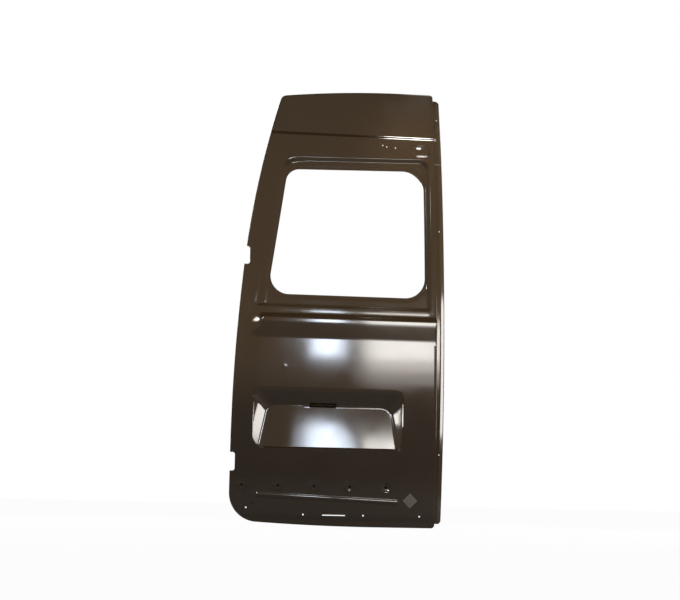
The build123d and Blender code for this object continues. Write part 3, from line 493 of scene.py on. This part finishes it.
def rounded_at(points, corner, radius, step):
    """Closed run with the corner nearest to a point rounded off."""
    pole = min(range(len(points)), key=lambda i: math.dist(points[i], corner))
    run = points[pole:] + points[:pole]
    here = Vector(run[0])
    look = radius * 0.8
    ahead = Vector(next(p for p in run[1:] if math.dist(p, here) > look)) - here
    back = Vector(next(p for p in run[:0:-1] if math.dist(p, here) > look)) - here
    half = back.angle(ahead) / 2
    reach = radius / math.tan(half)
    kept = [p for p in run[1:] if math.dist(p, here) > reach]
    centre = here + (back.normalized() + ahead.normalized()).normalized() * radius / math.sin(half)
    first = here + back.normalized() * reach - centre
    last = here + ahead.normalized() * reach - centre
    start = math.atan2(first.y, first.x)
    sweep = math.atan2(first.x * last.y - first.y * last.x, first.dot(last))
    return arc_points(centre, radius, start, start + sweep, step) + kept


def notched(points, right, middle, height, radius, step):
    """Closed run with a hinge notch cut into its left edge up to x = right."""
    low, high = middle - height / 2, middle + height / 2
    beside, along = 60.0, 200.0
    edge = [p for p in points if p[0] < right + beside and abs(p[1] - middle) < along]
    edge.sort(key=lambda p: p[1])
    xs, zs = zip(*edge)
    top = (float(np.interp(high, zs, xs)), high)
    foot = (float(np.interp(low, zs, xs)), low)
    inner = arc_points((right - radius, high - radius), radius, math.pi / 2, 0.0, step)
    inner += arc_points((right - radius, low + radius), radius, 0.0, -math.pi / 2, step)
    start = next(i for i, p in enumerate(points) if p[0] < right + 1 and low <= p[1] <= high)
    kept = [p for p in points if not (p[0] < right + 1 and low <= p[1] <= high)]
    return kept[:start] + [top] + inner + [foot] + kept[start:]


STEP = 3.0
FINE_STEP = 2.0
CORNERS = ((LEFT_FOOT, 118.0), ((WIDTH, 0.0), 14.0), ((WIDTH, HEIGHT), 14.0), (LEFT_TOP, 25.0))
HINGE_NOTCHES = ((20.0, 256.0), (66.0, 1102.0))
NOTCH_TALL = 74.0
NOTCH_RADIUS = 10.0
outline = door_loop(STEP)
for corner, radius in CORNERS:
    outline = rounded_at(outline, corner, radius, STEP)
outline = spaced(outline, STEP)
for reach, middle in HINGE_NOTCHES:
    outline = notched(outline, reach, middle, NOTCH_TALL, NOTCH_RADIUS, FINE_STEP)
outline = spaced(outline, STEP)


def inset(loop, amount):
    """Closed run moved inwards, each point by its own amount."""
    points = np.array(loop)
    along = np.roll(points, -1, axis=0) - np.roll(points, 1, axis=0)
    normal = np.stack((-along[:, 1], along[:, 0]), axis=1)
    normal /= np.linalg.norm(normal, axis=1, keepdims=True)
    return points + normal * np.broadcast_to(amount, len(points))[:, None]


DIMPLE_HOLE = 4.5
LOWER_HOLE = 3.4
LOWER_HOLES = ((70.0, 72.0), (98.0, 85.0), (303.0, 47.0), (550.0, 47.0), (783.0, 47.0))
SCREW_HOLE = 3.5
LAMP_HOLES = ((626.0, 1599.0), (643.0, 1593.0), (680.0, 1590.0))
PLATE_SCREWS = ((295.0, 432.0), (495.0, 432.0))
LAMP_OPENING = ((325.0, 483.0), (437.0, 501.0))
FOOT_SLOT = ((381.0, 44.0), (476.0, 48.0))
LAMP_SLOT = ((770.0, 1588.0), (791.0, 1597.0))
SLOT_STEP = 1.5


def slot_loop(low, high, radius, step):
    """Closed run round an upright slot, from its lower left and upper right corners."""
    corners = [low, (high[0], low[1]), high, (low[0], high[1])]
    return rounded_loop(corners, (radius,) * 4, step)


holes = [rounded_loop(WINDOW, WINDOW_RADII, STEP)]
holes += [ring(dimple[:2], DIMPLE_HOLE) for dimple in DIMPLES]
holes += [ring(centre, LOWER_HOLE) for centre in LOWER_HOLES]
holes += [ring(centre, SCREW_HOLE) for centre in LAMP_HOLES + PLATE_SCREWS]
holes.append(slot_loop(*LAMP_OPENING, 2.0, STEP))
holes.append(slot_loop(*FOOT_SLOT, 1.9, SLOT_STEP))
holes.append(slot_loop(*LAMP_SLOT, 4.4, SLOT_STEP))


def within(points, loop):
    """Which points lie inside a closed run."""
    hit = np.zeros(len(points), dtype=bool)
    x, z = points[:, 0], points[:, 1]
    loop = np.asarray(loop)
    for (x0, z0), (x1, z1) in zip(loop, np.roll(loop, -1, axis=0)):
        if z0 == z1:
            continue
        crosses = (z0 > z) != (z1 > z)
        hit ^= crosses & (x < (x1 - x0) * (z - z0) / (z1 - z0) + x0)
    return hit


# Spacing of the points, in pitches, and the bend from which it is used.
FRONT_SPACING = ((4, 0.008), (2, 0.055), (1, 0.3))
REAR_SPACING = ((4, 0.03), (2, 0.14), (1, 0.7))
PLAIN_SPACING = 8
PITCH = 1.5
MARGIN = 6.0


def fine_points(spacing):
    """Grid points over the skin, close together where its face bends."""
    xs = np.arange(-MARGIN, WIDTH + MARGIN, PITCH)
    zs = np.arange(-MARGIN, HEIGHT + MARGIN, PITCH)
    x, z = np.meshgrid(xs, zs)
    face = skin_depth(x, z)
    bend = np.zeros_like(face)
    bend[1:-1, :] = np.abs(face[2:, :] - 2 * face[1:-1, :] + face[:-2, :])
    bend[:, 1:-1] = np.maximum(bend[:, 1:-1], np.abs(face[:, 2:] - 2 * face[:, 1:-1] + face[:, :-2]))
    rows, columns = np.indices(face.shape)
    keep = (rows % PLAIN_SPACING == 0) & (columns % PLAIN_SPACING == 0)
    for every, limit in spacing:
        near = bend > limit
        for _ in range(every):
            grown = near.copy()
            grown[1:, :] |= near[:-1, :]
            grown[:-1, :] |= near[1:, :]
            grown[:, 1:] |= near[:, :-1]
            grown[:, :-1] |= near[:, 1:]
            near = grown
        keep |= near & (rows % every == 0) & (columns % every == 0)
    return np.stack((x[keep], z[keep]), axis=1)


def clear_of(points, loops, gap):
    """Points that stand at least a gap away from every point of the loops."""
    count = sum(len(loop) for loop in loops)
    tree = kdtree.KDTree(count)
    index = 0
    for loop in loops:
        for x, z in loop:
            tree.insert((x, z, 0.0), index)
            index += 1
    tree.balance()
    return np.array([p for p in points if tree.find((p[0], p[1], 0.0))[2] > gap])


LOOP_CLEARANCE = 1.1


def trimmed(points, loops):
    """Triangles over points inside the first loop and outside the others, and where each loop starts."""
    border = loops[0]
    points = points[within(points, border)]
    for hole in loops[1:]:
        points = points[~within(points, hole)]
    points = clear_of(points, loops, LOOP_CLEARANCE)
    flat = [tuple(p) for p in points]
    edges = []
    starts = []
    for loop in loops:
        first = len(flat)
        starts.append((first, len(loop)))
        flat += [tuple(p) for p in loop]
        edges += [(first + k, first + (k + 1) % len(loop)) for k in range(len(loop))]
    spots, _, triangles, *_ = delaunay_2d_cdt([Vector(p) for p in flat], edges, [], 0, 1e-6, False)
    spots = np.array([tuple(p) for p in spots])
    triangles = np.array([tuple(t) for t in triangles])
    middles = spots[triangles].mean(axis=1)
    inside = within(middles, border)
    for hole in loops[1:]:
        inside &= ~within(middles, hole)
    triangles = triangles[inside]
    a, b, c = (spots[triangles[:, k]] for k in range(3))
    area = (b[:, 0] - a[:, 0]) * (c[:, 1] - a[:, 1]) - (b[:, 1] - a[:, 1]) * (c[:, 0] - a[:, 0])
    triangles[area < 0] = triangles[area < 0][:, ::-1]
    return spots, triangles, starts


def band(near, far):
    """Faces between two closed runs of corners of the same length."""
    count = len(near)
    return [(near[k], near[(k + 1) % count], far[(k + 1) % count], far[k]) for k in range(count)]


def two_sided(front, rear, depth, sheet):
    """Corners and faces of a sheet from what trimmed gave for its front and its back, with the holes' rims."""
    verts = []
    for (spots, _, _), thick in ((front, 0.0), (rear, sheet)):
        x, z = spots[:, 0], spots[:, 1]
        verts.append(np.stack((x, depth(x, z) + thick, z), axis=1))
    count = len(verts[0])
    faces = [tuple(int(i) for i in t) for t in front[1]]
    faces += [tuple(int(i) + count for i in t[::-1]) for t in rear[1]]
    for (first, length), (rear_first, _) in zip(front[2][1:], rear[2][1:]):
        rear_first += count
        faces += band(range(rear_first, rear_first + length), range(first, first + length))
    return verts, faces


def door_piece(name, corners, faces, material):
    """Object from corners in the door's own millimetres."""
    mesh = bpy.data.meshes.new(name)
    mesh.from_pydata(((corners - SEAT) / 1000.0).tolist(), [], faces)
    mesh.validate()
    mesh.materials.append(material)
    piece = bpy.data.objects.new(name, mesh)
    bpy.context.collection.objects.link(piece)
    return piece


def smooth_pressing(mesh):
    """Shades a pressing smooth, apart from its sheared edges."""
    mesh.shade_smooth()
    mesh.set_sharp_from_angle(angle=math.radians(50.0))


HEM_RADIUS = 1.6
HEM_DEEP = 4.0
HEM_LAP = 3.0
HEM_STEPS = 6
HEM_WIDTH = 10.0
NOTCH_HEM_WIDTH = 2.4
NOTCH_HEM_RIGHT = 110.0
NOTCH_HEM_HALF = 50.0


def skin_sheet():
    """Corners and faces of the skin: front, back, rims of the holes and the rolled hem."""
    border = inset(outline, HEM_RADIUS)
    loops = [border] + [np.array(hole) for hole in holes]
    front = trimmed(fine_points(FRONT_SPACING), loops)
    rear = trimmed(fine_points(REAR_SPACING), loops)
    verts, faces = two_sided(front, rear, skin_depth, SHEET)
    first, length = front[2][0]
    rear_first = len(front[0]) + rear[2][0][0]
    hem_width = np.full(length, HEM_WIDTH)
    for _, middle in HINGE_NOTCHES:
        near = (border[:, 0] < NOTCH_HEM_RIGHT) & (np.abs(border[:, 1] - middle) < NOTCH_HEM_HALF)
        hem_width[near] = NOTCH_HEM_WIDTH
    rings = []
    for turn in np.linspace(0.0, math.pi, HEM_STEPS + 1)[1:]:
        rings.append((HEM_RADIUS - HEM_RADIUS * math.sin(turn), HEM_DEEP / 2 - HEM_DEEP / 2 * math.cos(turn)))
    rings += [(hem_width, HEM_DEEP), (hem_width, HEM_LAP), (HEM_RADIUS, HEM_LAP)]
    border_depth = skin_depth(border[:, 0], border[:, 1])
    total = len(front[0]) + len(rear[0])
    previous = range(first, first + length)
    for width, back_by in rings:
        run = inset(outline, width)
        verts.append(np.stack((run[:, 0], border_depth + back_by, run[:, 1]), axis=1))
        now = range(total, total + length)
        faces += band(now, previous)
        previous = now
        total += length
    faces += band(range(rear_first, rear_first + length), previous)
    return np.concatenate(verts), faces


skin = door_piece("outer_skin", *skin_sheet(), primer)
smooth_pressing(skin.data)
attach(skin, "root")
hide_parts(*SKIN_NODES)

# Closing strips: two lengths of folded steel strip spot-welded behind the closing edge, which carry the
# seal of the other door. They are dipped with the shell.
STRIP_INNER = 835.4
STRIP_REACH = 881.8
STRIP_BOW = 6.3
STRIP_CHAMFER = 9.0
STRIP_BACK = 4.15
STRIP_SHEET = 1.5
STRIP_ENDS = (18.0, 1810.0)
STRIP_JOINT = 1525.0
STRIP_JOINT_GAP = 0.6
STRIP_STEP = 4.0
STRIP_LEAN = 0.57
STRIP_LEAN_WIDE = 16.5
STRIP_LIP_LEAN = 0.17
STRIP_LEAN_BEND = 3.0
STRIP_LIP_WIDE = 2.4
STRIP_LIP_BEND = 1.2
STRIP_GRID = (2.0, 5.0)
STRIP_HOLE = 2.3
STRIP_HOLES = [(861.5, z) for z in (300.0, 1233.0, 1723.0)]


def strip_edge(z):
    """How far the strip reaches at height z: a slight bow, cut off at its ends."""
    middle = (STRIP_ENDS[0] + STRIP_ENDS[1]) / 2
    share = (z - middle) / (STRIP_ENDS[1] - middle)
    end = np.minimum(z - STRIP_ENDS[0], STRIP_ENDS[1] - z)
    return STRIP_REACH - STRIP_BOW * share**2 - np.maximum(STRIP_CHAMFER - end, 0.0)


def strip_depth(x, z):
    """Depth of the strip's front: flat beside the skin, then leaning back to the flatter lip at its edge."""
    edge = strip_edge(z)
    lean = STRIP_LEAN * upper(x - (edge - STRIP_LEAN_WIDE), 0.0 * x, STRIP_LEAN_BEND)
    lip = (STRIP_LEAN - STRIP_LIP_LEAN) * upper(x - (edge - STRIP_LIP_WIDE), 0.0 * x, STRIP_LIP_BEND)
    return barrel(z) + crease_step(z) + STRIP_BACK + lean - lip


def strip_length(low, high):
    """Corners and faces of one length of the strip."""
    heights = np.append(np.arange(low, high, STRIP_STEP), high)
    right = [(float(strip_edge(z)), float(z)) for z in heights]
    border = np.array(spaced([(STRIP_INNER, low)] + right + [(STRIP_INNER, high)], STRIP_STEP))
    xs = np.arange(STRIP_INNER, STRIP_REACH, STRIP_GRID[0])
    x, z = np.meshgrid(xs, np.arange(low, high, STRIP_GRID[1]))
    points = np.stack((x.ravel(), z.ravel()), axis=1)
    loops = [border] + [np.array(ring(hole, STRIP_HOLE)) for hole in STRIP_HOLES if low < hole[1] < high]
    sheet = trimmed(points, loops)
    verts, faces = two_sided(sheet, sheet, strip_depth, STRIP_SHEET)
    count = len(sheet[0])
    first, length = sheet[2][0]
    faces += band(range(first, first + length), range(count + first, count + first + length))
    return np.concatenate(verts), faces


lower_verts, lower_faces = strip_length(STRIP_ENDS[0], STRIP_JOINT)
upper_verts, upper_faces = strip_length(STRIP_JOINT + STRIP_JOINT_GAP, STRIP_ENDS[1])
strip_verts = np.concatenate((lower_verts, upper_verts))
strip_faces = lower_faces + [tuple(i + len(lower_verts) for i in face) for face in upper_faces]
strips = door_piece("closing_strips", strip_verts, strip_faces, primer)
smooth_pressing(strips.data)
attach(strips, "root")
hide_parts("closing_strip_upper", "closing_strip_lower")

# Blank patch: a plain square of brown-grey self-adhesive foil, with nothing printed on it.
# It is stuck on its corner near the lower right of the skin, over the primer.
PATCH_PLACE = (743.0, 110.0)
PATCH_HALF_DIAGONAL = 31.0
PATCH_THICK = 0.3
PATCH_CELLS = 8
PATCH_LIFT = 0.02
foil = shell_finish("patch_foil", (0.092, 0.074, 0.060), (0.108, 0.088, 0.073), 0.45, 0.05)
share = np.linspace(0.0, 1.0, PATCH_CELLS + 1)
u, v = (grid.ravel() for grid in np.meshgrid(share, share))
patch_x = PATCH_PLACE[0] + (u - v) * PATCH_HALF_DIAGONAL
patch_z = PATCH_PLACE[1] + (u + v - 1.0) * PATCH_HALF_DIAGONAL
patch_y = skin_depth(patch_x, patch_z)
front = np.stack((patch_x, patch_y - PATCH_THICK, patch_z), axis=1)
back = np.stack((patch_x, patch_y - PATCH_LIFT, patch_z), axis=1)
number = np.arange(len(front)).reshape(PATCH_CELLS + 1, PATCH_CELLS + 1)
patch_faces = []
for row in range(PATCH_CELLS):
    for column in range(PATCH_CELLS):
        a, b, d, c = (int(i) for i in number[row : row + 2, column : column + 2].ravel())
        patch_faces.append((a, b, c, d))
        patch_faces.append(tuple(i + len(front) for i in (d, c, b, a)))
rim = np.concatenate((number[0], number[1:, -1], number[-1, -2::-1], number[-2:0:-1, 0])).tolist()
patch_faces += [(b, a, a + len(front), b + len(front)) for a, b in zip(rim, rim[1:] + rim[:1])]
patch = door_piece("blank_patch", np.concatenate((front, back)), patch_faces, foil)
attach(patch, "root")

# Studio: pale floor and white surround, which the camera, glass and surfaces turned to the back see as white.
# Two soft boxes stand where the belt panel mirrors them, smaller lamps stand above, behind and at both sides,
# and two key spots light the upper half.


def math_node(tree, operation, first, second):
    """Joins two values, each an output or a number, by one sum."""
    node = tree.nodes.new("ShaderNodeMath")
    node.operation = operation
    for socket, value in zip(node.inputs, (first, second)):
        if isinstance(value, float):
            socket.default_value = value
        else:
            tree.links.new(value, socket)
    return node.outputs[0]


BEHIND = 0.3


def shows_white(tree, across):
    """1 for rays that see the white surround: from the camera, through glass, or mirrored towards the back."""
    path = tree.nodes.new("ShaderNodeLightPath")
    split = tree.nodes.new("ShaderNodeSeparateXYZ")
    tree.links.new(across, split.inputs[0])
    behind = math_node(tree, "GREATER_THAN", split.outputs["Y"], BEHIND)
    mirrored_back = math_node(tree, "MULTIPLY", path.outputs["Is Glossy Ray"], behind)
    direct = math_node(tree, "MAXIMUM", path.outputs["Is Camera Ray"], path.outputs["Is Transmission Ray"])
    return math_node(tree, "MAXIMUM", direct, mirrored_back), split


FLOOR_GAP = 0.002
FLOOR_GREY = (0.25, 0.25, 0.25, 1)
FLOOR_GLOW = 1.04
FLOOR_WHITE = 0.93
FLOOR_SHEEN = 0.18
bpy.ops.mesh.primitive_plane_add(size=400.0, location=(0.4, 6.0, cad_box[0][2] - FLOOR_GAP))
floor = bpy.context.object
floor.name = "floor"
paper = bpy.data.materials.new("floor_paper")
paper.use_nodes = True
tree = paper.node_tree
shader = tree.nodes["Principled BSDF"]
shader.inputs["Base Color"].default_value = FLOOR_GREY
shader.inputs["Roughness"].default_value = 0.9
glow = tree.nodes.new("ShaderNodeEmission")
glow.inputs["Strength"].default_value = FLOOR_GLOW
place = tree.nodes.new("ShaderNodeNewGeometry")
white, _ = shows_white(tree, place.outputs["Position"])
path = tree.nodes.new("ShaderNodeLightPath")
plain = math_node(tree, "MULTIPLY", white, FLOOR_WHITE)
sheen = math_node(tree, "MULTIPLY", path.outputs["Is Glossy Ray"], FLOOR_SHEEN)
both = tree.nodes.new("ShaderNodeMixShader")
tree.links.new(math_node(tree, "MAXIMUM", plain, sheen), both.inputs[0])
tree.links.new(shader.outputs[0], both.inputs[1])
tree.links.new(glow.outputs[0], both.inputs[2])
tree.links.new(both.outputs[0], tree.nodes["Material Output"].inputs["Surface"])
floor.data.materials.append(paper)

ROOM_LOW = (0.26, 0.265, 0.27, 1)
ROOM_WALL = (0.68, 0.52, 0.38, 1)
ROOM_DARK = (0.03, 0.03, 0.03, 1)
ROOM_BOUNCE = (0.06, 0.06, 0.06, 1)
ROOM_WHITE = (1.0, 1.0, 1.0, 1)
world = bpy.data.worlds.new("studio")
bpy.context.scene.world = world
world.use_nodes = True
tree = world.node_tree
room = tree.nodes["Background"]
place = tree.nodes.new("ShaderNodeTexCoord")
white, split = shows_white(tree, place.outputs["Generated"])
walls = tree.nodes.new("ShaderNodeValToRGB")
stops = walls.color_ramp.elements
stops[0].position, stops[0].color = 0.08, ROOM_LOW
stops[1].position, stops[1].color = 0.78, ROOM_DARK
for at in (0.15, 0.62, 0.985):
    stops.new(at).color = ROOM_WALL
stops.new(0.955).color = ROOM_DARK
wire(tree, split, "Z", walls, "Fac")
path = tree.nodes.new("ShaderNodeLightPath")
dim = tree.nodes.new("ShaderNodeMix")
dim.data_type = "RGBA"
wire(tree, path, "Is Diffuse Ray", dim, "Factor")
wire(tree, walls, "Color", dim, "A")
dim.inputs["B"].default_value = ROOM_BOUNCE
level = tree.nodes.new("ShaderNodeMix")
level.data_type = "RGBA"
tree.links.new(white, level.inputs["Factor"])
wire(tree, dim, "Result", level, "A")
level.inputs["B"].default_value = ROOM_WHITE
wire(tree, level, "Result", room, "Color")


def hung(light, place, aim):
    """Lamp of a light at a place, turned to a point."""
    lamp = bpy.data.objects.new(light.name, light)
    bpy.context.collection.objects.link(lamp)
    lamp.location = place
    lamp.rotation_euler = (Vector(aim) - Vector(place)).to_track_quat("-Z", "Y").to_euler()
    return lamp


def soft_box(name, place, aim, size, power, colour, spread=math.pi):
    """Rectangular studio light at a place, turned to a point."""
    light = bpy.data.lights.new(name, "AREA")
    light.shape = "RECTANGLE"
    light.size, light.size_y = size
    light.energy = power
    light.color = colour
    light.spread = spread
    return hung(light, place, aim)


def door_point(x, y, z):
    """Point of the door in the frame, from its own millimetres."""
    return Vector((np.array((x, y, z)) - SEAT) / 1000.0)


CAMERA_AIM = (441.9, 30.0, 928.0)
CAMERA_TURN = math.radians(-9.0)
CAMERA_RISE = math.radians(-6.0)
CAMERA_ROLL = math.radians(1.1)
CAMERA_DISTANCE = 8.0
CAMERA_LENS = 102.8
CAMERA_SENSOR = 36.0
aim = door_point(*CAMERA_AIM)
towards = Vector((
    math.sin(CAMERA_TURN) * math.cos(CAMERA_RISE),
    -math.cos(CAMERA_TURN) * math.cos(CAMERA_RISE),
    math.sin(CAMERA_RISE),
))
right = Vector((math.cos(CAMERA_TURN), math.sin(CAMERA_TURN), 0.0))
up = towards.cross(right)
tilted_right = right * math.cos(CAMERA_ROLL) + up * math.sin(CAMERA_ROLL)
tilted_up = towards.cross(tilted_right)
camera = bpy.data.objects.new("camera", bpy.data.cameras.new("camera"))
bpy.context.collection.objects.link(camera)
camera.data.lens = CAMERA_LENS
camera.data.sensor_width = CAMERA_SENSOR
camera.matrix_world = Matrix.Translation(aim + towards * CAMERA_DISTANCE) @ Matrix(
    (tilted_right, tilted_up, towards)
).transposed().to_4x4()
bpy.context.scene.camera = camera


def mirrored(x, z, distance):
    """Where a light stands so that the camera sees it mirrored in the door at a point."""
    slope = (z - BARREL_APEX) / BARREL_RADIUS
    normal = Vector((0.0, -math.sqrt(1 - slope**2), slope))
    point = door_point(x, float(barrel(z)), z)
    view = (camera.location - point).normalized()
    return point + (2 * normal.dot(view) * normal - view) * distance


BOX_DISTANCE = 3.0
BOX_HEIGHT = 767.0
COOL_BOX = 389.0
WARM_BOX = 734.0
DAYLIGHT = (0.76, 0.86, 1.0)
PALE_WARM = (1.0, 0.98, 0.925)
LAMP_WHITE = (1.0, 0.96, 0.9)
cool_place = mirrored(COOL_BOX, BOX_HEIGHT, BOX_DISTANCE)
warm_place = mirrored(WARM_BOX, BOX_HEIGHT, BOX_DISTANCE)
soft_box("cool_box", cool_place, door_point(COOL_BOX, 0.0, BOX_HEIGHT), (0.175, 0.37), 8.2, DAYLIGHT)
soft_box("warm_box", warm_place, door_point(WARM_BOX, 0.0, BOX_HEIGHT), (0.52, 0.37), 13.2, PALE_WARM)
for drop, tall, power in ((0.245, 0.12, 2.15), (0.37, 0.13, 1.0)):
    place = warm_place - Vector((0.0, 0.0, drop))
    soft_box("warm_skirt", place, door_point(WARM_BOX, 0.0, 700.0), (0.52, tall), power, (1.0, 0.95, 0.9))
crease_place, crease_aim = door_point(860.0, -235.0, 2155.0), door_point(748.0, 60.0, 1635.0)
soft_box("crease_strip", crease_place, crease_aim, (0.22, 0.12), 0.40, LAMP_WHITE, math.radians(36.0))
right_place, right_aim = door_point(2540.0, -560.0, 877.0), door_point(110.0, 0.0, 420.0)
soft_box("right_rim", right_place, right_aim, (0.9, 0.93), 43.0, LAMP_WHITE)
left_place, left_aim = door_point(-1750.0, -480.0, 500.0), door_point(700.0, 0.0, 430.0)
soft_box("left_rim", left_place, left_aim, (0.5, 0.30), 15.0, LAMP_WHITE)
high_place, high_aim = door_point(-1100.0, -4305.0, 3082.0), door_point(330.0, 0.0, 480.0)
high_spread = math.radians(15.0)
high_lamp = soft_box("left_upper", high_place, high_aim, (1.4, 1.4), 2.2, (1.0, 0.97, 0.93), high_spread)
high_lamp.visible_diffuse = False
rear_place, rear_aim = door_point(-600.0, 2600.0, 1900.0), door_point(420.0, 100.0, 900.0)
soft_box("rear_fill", rear_place, rear_aim, (1.6, 1.6), 60.0, (1.0, 0.98, 0.95))


def key_spot(name, place, aim, power):
    """Round key light with a soft-edged cone that leaves the foot of the door in the dark."""
    light = bpy.data.lights.new(name, "SPOT")
    light.energy = power
    light.color = (1.0, 0.95, 0.88)
    light.spot_size = math.radians(50.0)
    light.spot_blend = 0.52
    light.shadow_soft_size = 0.3
    hung(light, place, aim).visible_glossy = False


KEY_POWER = 150.0
KEY_AIM = door_point(420.0, 0.0, 1330.0)
key_spot("key_right", door_point(2440.0, -900.0, 1200.0), KEY_AIM, KEY_POWER)
key_spot("key_left", door_point(-1560.0, -900.0, 1200.0), KEY_AIM, KEY_POWER)

scene = bpy.context.scene
scene.view_settings.view_transform = "Standard"
